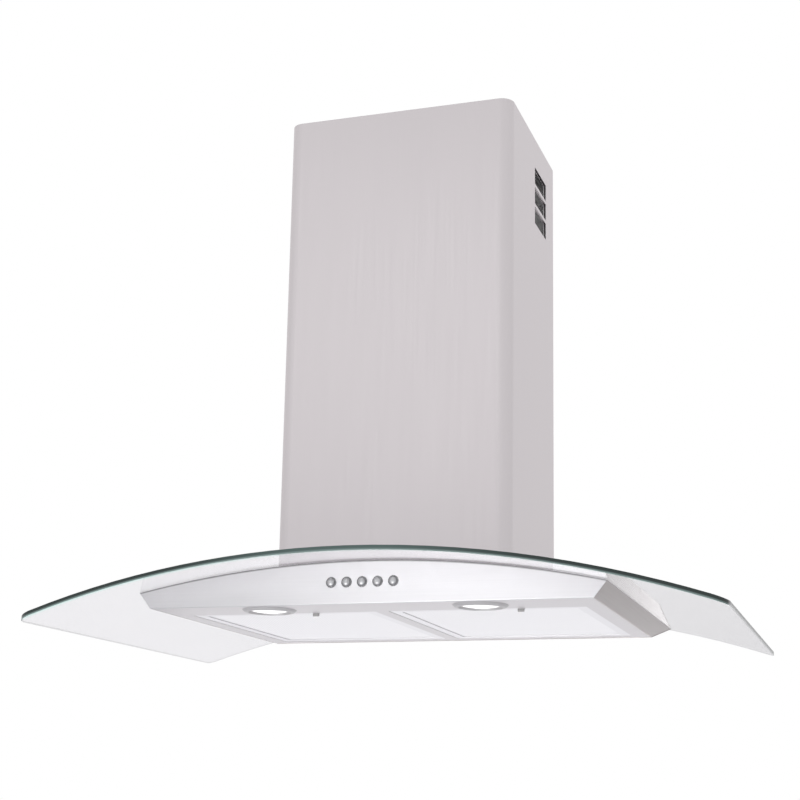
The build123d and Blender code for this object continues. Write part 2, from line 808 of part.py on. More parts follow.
def outlet_transition():
    """Rectangle-to-round duct piece on the blower box."""
    low = blower_top + snug
    high = spigot_bottom - snug
    front, rear = scroll_outlet()
    middle = (front + rear) / 2
    deep = rear - front

    def skin(inset, bottom, top):
        mouth = Pos(0, middle, bottom) * RectangleRounded(
            2 * (scroll_half_width - inset), deep - 2 * inset, 10 - inset
        )
        throat = Pos(0, 0, top) * Circle(spigot_radius - inset)
        return loft([mouth, throat], ruled=True)

    wall = spigot_wall
    piece = skin(0, low, high) - skin(wall, low - 0.01, high + 0.01)
    flange = Pos(0, middle, low) * (
        RectangleRounded(2 * scroll_half_width + 20, deep + 10, 8)
        - RectangleRounded(2 * (scroll_half_width - wall), deep - 2 * wall, 8.4)
    )
    return piece + extrude(flange, wall)


def duct_collar():
    """Round spigot with four seats for the flaps and two pin bosses."""
    low = spigot_bottom
    high = spigot_top
    inner = spigot_radius - spigot_wall
    collar = rod(spigot_radius, low, high)
    seat = flap_axis_z - flap_sheet / 2 - seam
    collar -= rod(inner, low - 1, seat - 4) + rod(inner, seat, high + 1)
    collar -= block((-25, 25), (-90, 90), (seat - 5, seat + 1)) & rod(inner, seat - 5, seat + 1)
    collar -= rod(inner - 4, low - 1, high + 1)
    for side in (-1, 1):
        boss = rod(4.5, inner - 5, inner + 0.5, (0, flap_axis_z), "X")
        boss = boss if side > 0 else mirror(boss, Plane.YZ)
        collar += boss
    reach = spigot_radius - 0.6
    return collar - rod(flap_pin_radius + tight, -reach, reach, (0, flap_axis_z), "X")


def flap_pin():
    reach = spigot_radius - 0.8
    return rod(flap_pin_radius, -reach, reach, (0, flap_axis_z), "X")


def flap(side):
    """Half-round non-return flap with two of the four hinge barrels; side is the sign of Y."""
    reach = spigot_radius - spigot_wall - 0.8
    skin = (flap_axis_z - flap_sheet / 2, flap_axis_z + flap_sheet / 2)
    clear = (flap_axis_z - past, flap_axis_z + past)
    plate = extrude(Pos(0, 0, skin[0]) * Circle(reach), flap_sheet)
    plate &= block((-reach, reach), (knuckle_radius + snug + seam, reach), clear)
    ears = block((reach - 12, reach + past), (-past, 7), clear)
    plate -= ears + mirror(ears, Plane.YZ)
    first = -2.5 * knuckle
    if side > 0:
        first += knuckle + knuckle_gap
    for start in (first, first + 3 * knuckle):
        plate += rod(knuckle_radius, start, start + knuckle, (0, flap_axis_z), "X")
        plate += block((start, start + knuckle), (0, 6), skin)
    plate += block((-1.5 * knuckle, 1.5 * knuckle), (17, 18.2), (flap_axis_z, flap_axis_z + 2.6))
    plate -= rod(flap_pin_radius + running, -reach, reach, (0, flap_axis_z), "X")
    return plate if side > 0 else mirror(plate, Plane.XZ)


# ---------------------------------------------------------------- electrics
def control_box():
    """Open tray on the blower box with a circuit board and a terminal block."""
    out = -box_side
    x = (out - tray_depth, out)
    y = (tray_front, tray_rear)
    z = (tray_low, tray_high)
    tray = block(x, y, z)
    tray = fillet(tray.edges().filter_by(Axis.X), 5)
    hollow = (out - tray_depth - past, out - tray_wall)
    tray -= block(hollow, inset_pair(y, tray_wall), inset_pair(z, tray_wall))
    tray += block((out - 5, out - 1), inset_pair(y, 10), (tray_low + 15, tray_high - 30))
    for index in range(5):
        low = tray_front + 16 + 17 * index
        tray += block((out - 14, out - 1), (low, low + 12), (tray_high - 26, tray_high - 12))
    return tray - rod(gland_thread, tray_high - past, tray_high + past, gland_at())


def gland_at():
    return (-box_side - tray_depth / 2, tray_rear - gland_inset)


def mains_gland():
    """Cable gland: lock nut inside the tray, body and dome nut above it."""
    at = gland_at()
    top = tray_high
    gland = rod(gland_thread - snug, top - 10, top + 20, at)
    gland += hexagon_rod(15.0, top + snug, top + 6, at)
    gland += hexagon_rod(14.0, top + 7.5, top + 16, at)
    gland += hexagon_rod(13.0, top - tray_wall - 4, top - tray_wall - snug, at)
    return gland - rod(cable_radius, top - 20, top + 30, at)


def capacitor():
    """Motor run capacitor on a foot plate beside the blower box."""
    r = capacitor_radius
    low = blower_bottom + capacitor_rise
    high = low + capacitor_length
    can = rod(r, low, high)
    can = chamfer(can.edges().sort_by(Axis.Z)[-1], 1.2)
    for y in (-5, 3):
        can += block((-1, 1), (y, y + 2), (high - 1, high + 6))
    can += block((-r - 0.6, 1 - r), (-20, 20), (low + 17, low + 31))
    return Pos(box_side + r + 0.6, -20, 0) * can


def led_driver():
    """Small power supply under the deck, to the right of the right lamp."""
    x = body_top_width / 2 - driver_from_edge
    y = lamp_y
    reach = driver_half + driver_ear
    top = arch_z(x + reach, deck_bottom) - seam
    case = block((x - driver_half, x + driver_half), (y - 16, y + 16), (top - 13, top))
    case = fillet(case.edges().filter_by(Axis.Z), 3)
    ears = block((x - reach, x + reach), (y - 6, y + 6), (top - 2, top))
    for side in (-1, 1):
        ears -= rod(2, top - past, top + past, (x + side * (reach - driver_ear / 2), y))
    return case + ears


def lamp_bezel(side):
    """Turned trim ring with a sleeve up through the pan."""
    r = lamp_bezel_radius
    bore = lamp_lens_radius + seam
    sleeve = lamp_hole_radius - seam - snug
    ring = turned(
        (bore, 1.2), (bore + 1.4, -3.4), (r - 3, -2.6), (r, -snug),
        (sleeve, -snug), (sleeve, 7), (sleeve - 1.4, 7), (sleeve - 1.4, 1.2)
    )
    return Pos(side * lamp_x, lamp_y, body_bottom) * ring


def lamp_lens(side):
    """Pressed lens: shallow dome below, flat rim above the bezel's lip."""
    r = lamp_lens_radius
    rim = lamp_hole_radius - 2.2
    lens = turned(
        (0, -2.6), (r * 0.45, -2.6), (r * 0.75, -1.8), (r, -0.6), (r, 1.4), (rim, 1.4), (rim, 3.2), (0, 3.2)
    )
    return Pos(side * lamp_x, lamp_y, body_bottom) * lens


def lamp_module(side):
    """Light module with a finned heat sink, clamped down on the lens."""
    body = rod(lamp_hole_radius - 2.4, 3.4, 8.2) + rod(lamp_hole_radius + 1.5, 8.2, 11)
    fins = [Rot(0, 0, 45 * i) * block((6, lamp_hole_radius - 3), (-0.8, 0.8), (10, 21)) for i in range(8)]
    body += hexagon_rod(20, 10, 21)
    body += fins
    return Pos(side * lamp_x, lamp_y, body_bottom) * body


def button_x(index):
    return (index - (button_count - 1) / 2) * button_pitch


def on_fascia(shape, index):
    """Place a shape turned about Z so that its +Z points out of the fascia."""
    return Pos(button_x(index), body_front, button_z) * Rot(90, 0, 0) * shape


def button_cap():
    """Domed cap, two retaining ears and a square stem; heights are measured out of the fascia."""
    r = button_radius
    p = button_proud
    cap = turned((0, p), (r * 0.4, p - 0.1), (r * 0.75, p - 0.8), (r, p - 2.2), (r, -2.8), (0, -2.8))
    ear = collar_outer + snug + seam
    cap += block((-ear, ear), (-2, 2), (-3.6, -2.2))
    return cap + block((-2, 2), (-2, 2), (-stem_length, -3))


def button(index):
    return on_fascia(button_cap(), index)


def button_collars():
    """Five rings that line the button holes."""
    bore = collar_bore
    out = collar_outer
    ring = turned(
        (bore, 0.9), (out + snug, 0.9), (out + 0.9, running), (out, running), (out, -1.8), (bore, -1.8)
    )
    return [on_fascia(ring, index) for index in range(button_count)]


def switch_block():
    """Five-way switch behind the fascia with two legs to it."""
    front = body_front + switch_back
    half = button_x(button_count - 1) + switch_border
    rear = front + switch_depth
    pocket = stem_length - switch_back + button_travel + 1.5
    case = block((-half, half), (front, rear), (button_z - switch_border, button_z + switch_border))
    case = chamfer(case.edges().filter_by(Axis.X), 1.5)
    for index in range(button_count):
        x = button_x(index)
        case -= block((x - 2.4, x + 2.4), (front - 1, front + pocket), (button_z - 2.4, button_z + 2.4))
        for z in (button_z + 2, button_z - 4):
            case += block((x - 1, x + 1), (rear, rear + 6), (z, z + 1))
    for side in (-1, 1):
        leg = sorted((side * (half - 1), side * (half + 5)))
        case += block(leg, (fascia_back + snug, front + 12), (button_z - 6, button_z + 6))
    return case


# ---------------------------------------------------------------- grease filters
def filter_box():
    """Width and depth of a filter, and its underside."""
    x0 = filter_open_in + filter_gap
    x1 = filter_open_out - filter_gap
    y0 = filter_front + filter_gap
    y1 = filter_rear - 2.0
    z0 = body_bottom + seam
    return (x0, x1), (y0, y1), (z0, z0 + filter_thick)


def filter_latch_x(side):
    return side * filter_mid_x + latch_offset


def latch_window(side):
    """Room for the latch inside the filter rim."""
    x = filter_latch_x(side)
    front = filter_box()[1][0]
    return x, front


def side_range(side, pair):
    return tuple(sorted((side * pair[0], side * pair[1])))


def filter_frame(side):
    """Channel frame round the mesh, with two rear tabs and slots for the latch."""
    xr, yr, zr = filter_box()
    xr = side_range(side, xr)
    frame = block(xr, yr, zr)
    frame = fillet(frame.edges().filter_by(Axis.Z), 3)
    frame -= block(inset_pair(xr, filter_sheet), inset_pair(yr, filter_sheet), inset_pair(zr, filter_sheet))
    frame -= block(inset_pair(xr, filter_rim), inset_pair(yr, filter_rim), (zr[0] - 1, zr[1] + 1))
    tab_z = body_bottom + body_sheet + seam
    for part in (0.25, 0.75):
        x = xr[0] + part * (xr[1] - xr[0])
        frame += block((x - 10, x + 10), (yr[1] - 1, yr[1] + 8), (tab_z, tab_z + 1.2))
        frame += rod(0.9, x - 10, x + 10, (yr[1] + 0.5, tab_z + 0.1), "X")
    x, front = latch_window(side)
    frame -= block((x - 4.6, x + 4.6), (front + 4, front + 7.5 + latch_travel), (zr[0] - 1, zr[0] + 2))
    frame -= block((x - 8.4, x + 8.4), (front - 1, front + 2), (zr[0] + 2.4, zr[0] + 5.2))
    return frame


def filter_mesh(side):
    """Layered mesh pack: flat face below, pleated layer above."""
    xr, yr, zr = filter_box()
    xr = inset_pair(side_range(side, xr), 1.0)
    yr = inset_pair(yr, 1.0)
    low = zr[0] + filter_sheet + snug
    high = zr[1] - filter_sheet - snug
    pleats = 24
    step = (xr[1] - xr[0]) / pleats
    ridge = [(xr[0] + step * i / 2, high if i % 2 else low + 2.0) for i in range(2 * pleats + 1)]
    face = polygon((xr[0], low), *ridge, (xr[1], low))
    pack = along_y(face, *yr)
    x, front = latch_window(side)
    return pack - block((x - 14, x + 14), (front, front + 15 + latch_travel), (low - 1, high + 1))


def filter_latch(side):
    """Spring slider inside the rim: finger knob below, tongue towards the front lip."""
    x, front = latch_window(side)
    low = filter_box()[2][0]
    slider = block((x - 10, x + 10), (front + 1.4, front + 10), (low + filter_sheet + 0.3, low + 6.6))
    slider = fillet(slider.edges().filter_by(Axis.Z), 1.2)
    tongue = block((x - 8, x + 8), (front + 0.1, front + 4), (low + 2.7, low + 4.9))
    knob = block((x - 4, x + 4), (front + 4.6, front + 7.0), (low - 4.0, low + 2))
    knob = fillet(knob.edges().filter_by(Axis.X).sort_by(Axis.Z)[:2], 1.0)
    return slider + tongue + knob


# ---------------------------------------------------------------- write the nodes
def all_nodes():
    nodes = {
        "ceiling_plate": ceiling_plate(),
        "inner_cover": inner_cover(),
        "inner_cover_screws": inner_cover_screws(),
        "outer_cover": outer_cover(),
        "cover_screws": cover_screws(),
        "frame_bolts": frame_bolts(),
        "airway_collar": airway_collar(),
        "glass_canopy": glass_canopy(),
        "glass_gasket": glass_gasket(),
        "glass_screws": glass_screws(),
        "fascia_panel": fascia_panel(),
        "side_panel_left": side_panel(-1),
        "side_panel_right": side_panel(1),
        "rear_panel": rear_panel(),
        "canopy_deck": canopy_deck(),
        "underside_frame": underside_frame(),
        "blower_box": blower_box(),
        "blower_brackets": blower_brackets(),
        "fan_scroll_left": scroll_half(-1),
        "fan_scroll_right": scroll_half(1),
        "impeller": impeller(),
        "motor_shaft": motor_shaft(),
        "motor": motor(),
        "motor_bracket": motor_bracket(),
        "outlet_transition": outlet_transition(),
        "duct_collar": duct_collar(),
        "flap_pin": flap_pin(),
        "flap_front": flap(-1),
        "flap_rear": flap(1),
        "control_box": control_box(),
        "mains_gland": mains_gland(),
        "capacitor": capacitor(),
        "led_driver": led_driver(),
        "button_collars": button_collars(),
        "switch_block": switch_block(),
    }
    names = {(-1, -1): "front_left", (1, -1): "front_right", (-1, 1): "rear_left", (1, 1): "rear_right"}
    for (sx, sy), place in names.items():
        nodes["lower_post_" + place] = to_corner(lower_post(), sx, sy)
        nodes["upper_post_" + place] = to_corner(upper_post(), sx, sy)
    for index in range(button_count):
        nodes["button_%d" % (index + 1)] = button(index)
    for side, place in ((-1, "left"), (1, "right")):
        nodes["lamp_bezel_" + place] = lamp_bezel(side)
        nodes["lamp_lens_" + place] = lamp_lens(side)
        nodes["lamp_module_" + place] = lamp_module(side)
        nodes["filter_frame_" + place] = filter_frame(side)
        nodes["filter_mesh_" + place] = filter_mesh(side)
        nodes["filter_latch_" + place] = filter_latch(side)
    return nodes


def save(nodes):
    os.makedirs("parts", exist_ok=True)
    for name, shape in nodes.items():
        solids = shape if isinstance(shape, list) else [shape]
        solids = [solid for item in solids for solid in item.solids()]
        body = solids[0] if len(solids) == 1 else Compound(children=solids)
        body.label = name
        export_step(body, "parts/%s.step" % name)


save(all_nodes())
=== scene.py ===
import json
import math

import bmesh
import bpy
from mathutils import Matrix, Vector


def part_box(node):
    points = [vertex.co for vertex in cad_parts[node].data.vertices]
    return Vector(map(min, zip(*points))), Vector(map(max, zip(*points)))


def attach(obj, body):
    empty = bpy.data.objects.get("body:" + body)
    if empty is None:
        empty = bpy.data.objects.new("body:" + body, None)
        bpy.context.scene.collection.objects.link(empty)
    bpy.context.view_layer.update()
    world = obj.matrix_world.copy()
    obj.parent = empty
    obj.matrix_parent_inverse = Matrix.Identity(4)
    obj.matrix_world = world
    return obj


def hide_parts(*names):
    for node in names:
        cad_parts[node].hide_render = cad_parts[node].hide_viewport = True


# Range hood with an arched glass canopy. Metres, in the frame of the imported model:
# X to the hood's right, Y to the rear, Z up, origin on the ceiling.
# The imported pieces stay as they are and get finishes. Only the glass gets a mesh of its own.

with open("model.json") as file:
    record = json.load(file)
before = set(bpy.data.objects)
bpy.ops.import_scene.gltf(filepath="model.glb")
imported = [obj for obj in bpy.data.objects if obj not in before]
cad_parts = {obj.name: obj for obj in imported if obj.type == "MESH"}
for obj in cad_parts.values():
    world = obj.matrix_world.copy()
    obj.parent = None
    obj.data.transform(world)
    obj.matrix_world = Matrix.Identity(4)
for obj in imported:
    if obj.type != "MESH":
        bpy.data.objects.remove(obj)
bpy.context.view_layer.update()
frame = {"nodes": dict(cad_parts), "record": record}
nodes_by_name = frame["nodes"]

# ---------------------------------------------------------------- camera
# Turns are in radians: to the left, up, and with the right side raised. Lens and sensor are in
# millimetres.
camera_place = Vector((0.636, -2.004, -0.948))
camera_yaw = 0.322
camera_pitch = 0.212
camera_roll = 0.019
camera_lens = 69.13
camera_sensor = 36.0
camera_shift_y = 0.1
camera_nearest = 0.05
camera_farthest = 60.0

# ---------------------------------------------------------------- room
floor_z = -3.0
floor_half = 14.0
floor_patches = ((0.84, 0.84, 0.85), (0.87, 0.87, 0.88))
floor_far = (0.97, 0.97, 0.98)
floor_fade = (1.5, 7.0)         # distances from its middle where the floor starts and stops paling
backdrop_white = (1.0, 1.0, 1.0, 1.0)
room_grey = (0.80, 0.80, 0.81, 1.0)
horizon_grey = (0.70, 0.695, 0.71, 1.0)
horizon_band = (-0.02, 0.11)    # heights of a mirrored direction where grey starts and stops paling

# ---------------------------------------------------------------- sizes of the glass and its neighbours
glass_sheet = 0.006             # thickness, which its box doesn't tell
glass_bow = 0.016               # how far the front edge bows forward of its corners
glass_low, glass_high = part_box("glass_canopy")
half_span = (glass_high.x - glass_low.x) / 2
glass_drop = glass_high.z - glass_low.z

# The box's top touches the upper face, and at the sides its bottom touches the lower one.
arch_radius = (half_span**2 + glass_drop**2 - glass_sheet**2) / (2 * (glass_drop - glass_sheet))
arch_centre_z = glass_high.z - arch_radius

fascia_low, fascia_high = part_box("fascia_panel")
lens_low, lens_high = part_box("lamp_lens_right")
lens_x = (lens_low.x + lens_high.x) / 2
lens_y = (lens_low.y + lens_high.y) / 2
lens_radius = (lens_high.x - lens_low.x) / 2

# ---------------------------------------------------------------- sizes within the finishes
# A pair gives the places where a change starts and where it is complete.
green_border = (0.001, 0.011)   # behind the glass's front edge, from green to clear
# The lighter green in the middle of the front edge is painted reflection.
edge_reflection_fade = (0.06, 0.22)        # aside of the middle of the front edge, from lighter to deep green
# The fascia's dark line is painted shadow: the shade of the gap between its top edge and the glass.
gap_shadow_fade = (0.0008, 0.0028)    # below the fascia's top edge, from dark to plain steel
line_share = 0.7                # brushed lines' part in a metal's unevenness; clouds make the rest
strand_pitch = 0.0042           # distance between the filter mesh's holes along X
strand_slope = 0.6              # the same distance as a share of the one along Y
lens_rings = 7

# ---------------------------------------------------------------- the glass's own mesh
weld_distance = 1e-6
flat_angle = math.radians(0.4)  # facets that meet at less than this become one face
rim_angle = math.radians(50)    # edges that turn by more than this are ground round
rim_width = 0.0007
big_face = 0.92                 # least part of a big face's normal that is square to the arch
front_face = 0.4                # least part of a front face's normal that looks to the front


# ---------------------------------------------------------------- node helpers
def scaled(colour, amount):
    """A colour made darker or brighter, up to white."""
    return tuple(min(1.0, channel * amount) for channel in colour)


class Finish:
    """One node material, with short calls for the nodes that the finishes below share."""

    def __init__(self, name):
        self.material = bpy.data.materials.new(name)
        self.material.use_nodes = True
        self.nodes = self.material.node_tree.nodes
        self.links = self.material.node_tree.links
        self.shader = self.nodes["Principled BSDF"]
        self.place = self.nodes.new("ShaderNodeTexCoord").outputs["Object"]

    def set(self, **values):
        """Plain values on the shader's own sockets; an underscore stands for a space."""
        for name, value in values.items():
            self.shader.inputs[name.replace("_", " ")].default_value = value

    def join(self, output, target):
        self.links.new(output, target)

    def feed(self, name, output):
        """Join a node's output to one of the shader's sockets."""
        self.join(output, self.shader.inputs[name])

    def stretched(self, scale):
        """Object coordinates, scaled by one number or by axis."""
        mapping = self.nodes.new("ShaderNodeMapping")
        mapping.inputs["Scale"].default_value = scale if isinstance(scale, tuple) else (scale,) * 3
        self.join(self.place, mapping.inputs["Vector"])
        return mapping.outputs["Vector"]

    def noise(self, scale, detail=3.0):
        node = self.nodes.new("ShaderNodeTexNoise")
        node.inputs["Scale"].default_value = 1.0
        node.inputs["Detail"].default_value = detail
        self.join(self.stretched(scale), node.inputs["Vector"])
        return node.outputs["Fac"]

    def math(self, operation, first, second=None):
        node = self.nodes.new("ShaderNodeMath")
        node.operation = operation
        for socket, value in zip(node.inputs, (first, second)):
            if isinstance(value, (int, float)):
                socket.default_value = value
            elif value is not None:
                self.join(value, socket)
        return node.outputs[0]

    def square(self, value):
        return self.math("MULTIPLY", value, value)

    def hypotenuse(self, first, second):
        """Square root of the sum of two squares."""
        return self.math("SQRT", self.math("ADD", self.square(first), self.square(second)))

    def ripple(self, angle):
        """From nought to one and back with each half turn of an angle."""
        return self.math("ABSOLUTE", self.math("SINE", angle))

    def between(self, value, low, high, start=0.25, stop=0.75):
        """Turn a value that runs from start to stop into one that runs from low to high."""
        node = self.nodes.new("ShaderNodeMapRange")
        node.inputs["From Min"].default_value = start
        node.inputs["From Max"].default_value = stop
        node.inputs["To Min"].default_value = low
        node.inputs["To Max"].default_value = high
        self.join(value, node.inputs["Value"])
        return node.outputs["Result"]

    def blend(self, value, low, high):
        """Mix two colours, or the outputs of two nodes, by a value."""
        node = self.nodes.new("ShaderNodeMix")
        node.data_type = "RGBA"
        for name, colour in (("A", low), ("B", high)):
            if isinstance(colour, tuple):
                node.inputs[name].default_value = (*colour, 1.0)
            else:
                self.join(colour, node.inputs[name])
        self.join(value, node.inputs["Factor"])
        return node.outputs["Result"]

    def shades(self, value, colour, dark, light):
        """A colour made darker and lighter, mixed by a value."""
        return self.blend(value, scaled(colour, dark), scaled(colour, light))

    def bump(self, height, strength, distance, round_edge=0.0):
        """Relief on the shader's normal; round_edge softens sharp edges by that radius."""
        node = self.nodes.new("ShaderNodeBump")
        node.inputs["Strength"].default_value = strength
        node.inputs["Distance"].default_value = distance
        self.join(height, node.inputs["Height"])
        if round_edge:
            bevel = self.nodes.new("ShaderNodeBevel")
            bevel.samples = 4
            bevel.inputs["Radius"].default_value = round_edge
            self.join(bevel.outputs["Normal"], node.inputs["Normal"])
        self.feed("Normal", node.outputs["Normal"])

    def grain(self, along, amount, tilt=0.01):
        """Stretch highlights square to the brushing, which runs along X, Y or Z: 0, 1 or 2.

        The direction is tilted a little, since a face square to it would have no tangent.
        """
        facing = self.nodes.new("ShaderNodeNewGeometry")
        cross = self.nodes.new("ShaderNodeVectorMath")
        cross.operation = "CROSS_PRODUCT"
        self.join(facing.outputs["Normal"], cross.inputs[0])
        cross.inputs[1].default_value = [float(index == along) + tilt for index in range(3)]
        self.feed("Tangent", cross.outputs["Vector"])
        self.set(Anisotropic=amount)

    def inward(self, margin=0.02):
        """One on faces that look towards the vertical axis by more than a margin, nought elsewhere."""
        facing = self.nodes.new("ShaderNodeNewGeometry")
        dot = self.nodes.new("ShaderNodeVectorMath")
        dot.operation = "DOT_PRODUCT"
        self.join(facing.outputs["True Normal"], dot.inputs[0])
        self.join(self.stretched((1.0, 1.0, 0.0)), dot.inputs[1])
        return self.math("LESS_THAN", dot.outputs["Value"], -margin)

    def axes(self):
        """Object coordinates as three values."""
        node = self.nodes.new("ShaderNodeSeparateXYZ")
        self.join(self.place, node.inputs["Vector"])
        return node.outputs["X"], node.outputs["Y"], node.outputs["Z"]


# ---------------------------------------------------------------- finishes
def below_fascia_top(finish):
    """Depth below the fascia's arched top edge."""
    x, _, z = finish.axes()
    drop = finish.math("DIVIDE", finish.square(x), 2 * arch_radius)
    return finish.math("SUBTRACT", fascia_high.z, finish.math("ADD", z, drop))


def brushed(name, colour, grain, rough, streak=0.04, gap_shadow=False, painted_light_inside=False):
    """Metal brushed along the axis with the smallest grain value, slightly uneven in tone and gloss.

    Under the glass it has a painted shadow line along its arched top, for the gap below the glass,
    and a hollow tube is painted pale inside, as painted light on its shaded inside.
    """
    finish = Finish(name)
    lines = finish.noise(grain, detail=4.0)
    clouds = finish.noise(3.0, detail=2.0)
    streaks = finish.math("MULTIPLY", lines, line_share)
    patches = finish.math("MULTIPLY", clouds, 1 - line_share)
    uneven = finish.math("ADD", streaks, patches)
    tone = finish.between(uneven, 0.0, 1.0)
    metal = finish.shades(tone, colour, dark=1 - streak, light=1 + streak)
    if gap_shadow:
        # Painted shadow: a dark line along the fascia's top, standing in for the shade of the gap below
        # the glass.
        shadow = scaled(colour, 0.30)
        out_of_shadow = finish.between(below_fascia_top(finish), 0.0, 1.0, *gap_shadow_fade)
        metal = finish.blend(out_of_shadow, shadow, metal)
    if painted_light_inside:
        # Painted light: the inside of the tube is pale and not metallic, so that its shaded inside looks
        # lit.
        pale_painted_light = (0.84, 0.83, 0.83)
        inside = finish.inward()
        metal = finish.blend(inside, metal, pale_painted_light)
        finish.feed("Metallic", finish.math("SUBTRACT", 1.0, inside))
    finish.feed("Base Color", metal)
    spread = 0.05
    finish.feed("Roughness", finish.between(uneven, rough - spread, rough + spread))
    finish.set(Metallic=1.0)
    finish.grain(along=grain.index(min(grain)), amount=0.8)
    finish.bump(lines, strength=0.06, distance=0.0002, round_edge=0.0006)
    return finish.material


def sheet_zinc(name, colour):
    """Galvanised sheet: large soft crystals in a dull grey coat."""
    finish = Finish(name)
    cells = finish.nodes.new("ShaderNodeTexVoronoi")
    cells.inputs["Scale"].default_value = 1.0
    finish.join(finish.stretched(170.0), cells.inputs["Vector"])
    tone = finish.nodes.new("ShaderNodeSeparateColor")
    finish.join(cells.outputs["Color"], tone.inputs["Color"])
    level = tone.outputs["Red"]
    finish.feed("Base Color", finish.shades(level, colour, dark=0.93, light=1.04))
    finish.feed("Roughness", finish.between(level, 0.38, 0.5))
    finish.set(Metallic=0.55)
    finish.bump(finish.noise(240.0), strength=0.08, distance=0.0002, round_edge=0.0004)
    return finish.material


def bright(name, colour, rough):
    """Plated small metal, from polished to satin, with faint wear in its gloss."""
    finish = Finish(name)
    wear = finish.noise(420.0)
    finish.feed("Base Color", finish.shades(wear, colour, dark=0.93, light=1.05))
    finish.feed("Roughness", finish.between(wear, rough, rough + 0.08))
    finish.set(Metallic=1.0)
    finish.bump(wear, strength=0.04, distance=0.0001, round_edge=0.0004)
    return finish.material


def cast(name, colour):
    """Die-cast aluminium with a fine pebbled skin."""
    finish = Finish(name)
    pebble = finish.noise(900.0, detail=4.0)
    finish.feed("Base Color", finish.shades(pebble, colour, dark=0.9, light=1.06))
    finish.feed("Roughness", finish.between(pebble, 0.42, 0.58))
    finish.set(Metallic=1.0)
    finish.bump(pebble, strength=0.25, distance=0.0003, round_edge=0.0005)
    return finish.material


def moulded(name, colour, rough, relief=0.12):
    """Moulded plastic or rubber with an eroded tool texture."""
    finish = Finish(name)
    texture = finish.noise(700.0, detail=4.0)
    drift = finish.noise(14.0, detail=2.0)
    finish.feed("Base Color", finish.shades(drift, colour, dark=0.9, light=1.12))
    spread = 0.06
    finish.feed("Roughness", finish.between(texture, rough - spread, rough + spread))
    finish.bump(texture, strength=relief, distance=0.0002, round_edge=0.0005)
    return finish.material


def expanded_mesh(name, colour):
    """Aluminium filter mesh: crossing strands with small diamond holes."""
    finish = Finish(name)
    x, y, _ = finish.axes()
    turn = math.pi / strand_pitch
    along = finish.math("MULTIPLY", x, turn)
    across = finish.math("MULTIPLY", y, turn * strand_slope)
    first = finish.ripple(finish.math("ADD", along, across))
    second = finish.ripple(finish.math("SUBTRACT", along, across))
    ramp = finish.nodes.new("ShaderNodeValToRGB")
    strand, hole = ramp.color_ramp.elements
    strand.position = 0.35
    strand.color = (1, 1, 1, 1)
    hole.position = 0.75
    hole.color = (0, 0, 0, 1)
    finish.join(finish.math("MINIMUM", first, second), ramp.inputs["Fac"])
    wire = ramp.outputs["Color"]
    finish.feed("Base Color", finish.shades(wire, colour, dark=0.90, light=1.0))
    finish.feed("Roughness", finish.between(finish.noise(500.0), 0.42, 0.56))
    finish.set(Metallic=0.85)
    finish.bump(wire, strength=0.15, distance=0.0003)
    return finish.material


def clear_glass(name):
    """Float glass; a narrow border behind the front edge carries the green of the cut."""
    cut_green = (0.60, 0.92, 0.84)
    finish = Finish(name)
    wave = finish.noise(9.0, detail=1.0)
    clear = finish.blend(wave, (0.930, 0.918, 0.940), (0.950, 0.938, 0.960))
    x, y, _ = finish.axes()
    bow = finish.math("MULTIPLY", finish.square(x), glass_bow / half_span**2)
    behind = finish.math("SUBTRACT", finish.math("SUBTRACT", y, glass_low.y), bow)
    border = finish.between(behind, 1.0, 0.0, *green_border)
    finish.feed("Base Color", finish.blend(border, clear, cut_green))
    finish.set(Roughness=0.0, IOR=1.5, Transmission_Weight=1.0)
    finish.bump(wave, strength=0.01, distance=0.0005)
    return finish.material


def depth_in_glass(finish):
    """Depth below the sheet's upper face: nought at the top of its edge, one at the bottom."""
    x, _, z = finish.axes()
    radius = finish.hypotenuse(x, finish.math("SUBTRACT", z, arch_centre_z))
    return finish.between(radius, 1.0, 0.0, arch_radius - glass_sheet, arch_radius)


def glass_front_edge(name):
    """Polished front edge: deep green, with painted reflection that makes it lighter ahead of the
    chimney and along its lower side.
    """
    reflected_middle_green = (0.055, 0.092, 0.085)
    deep_green = (0.006, 0.017, 0.015)
    reflected_lower_green = (0.22, 0.30, 0.285)
    finish = Finish(name)
    grind = finish.noise(14.0)
    x, _, _ = finish.axes()
    aside = finish.between(finish.math("ABSOLUTE", x), 0.0, 1.0, *edge_reflection_fade)
    low = finish.between(depth_in_glass(finish), 0.0, 1.0, start=0.58, stop=1.0)
    # Painted reflection: lighter green in the middle and along the lower side of the edge.
    upper = finish.blend(aside, reflected_middle_green, deep_green)
    finish.feed("Base Color", finish.blend(low, upper, reflected_lower_green))
    finish.feed("Roughness", finish.between(grind, 0.08, 0.16))
    finish.set(IOR=1.5)
    finish.bump(grind, strength=0.04, distance=0.0002)
    return finish.material


def glass_side_edge(name):
    """Ground side and rear edges and holes: grey from outside, faint from within the sheet."""
    upper_grey = (0.13, 0.13, 0.135)
    lower_grey = (0.60, 0.61, 0.62)
    finish = Finish(name)
    grind = finish.noise(60.0)
    low = finish.between(depth_in_glass(finish), 0.0, 1.0, start=0.5, stop=1.0)
    finish.feed("Base Color", finish.blend(low, upper_grey, lower_grey))
    finish.feed("Roughness", finish.between(grind, 0.22, 0.34))
    within = finish.nodes.new("ShaderNodeNewGeometry").outputs["Backfacing"]
    finish.feed("Alpha", finish.between(within, 1.0, 0.3, start=0.0, stop=1.0))
    finish.set(IOR=1.5)
    return finish.material


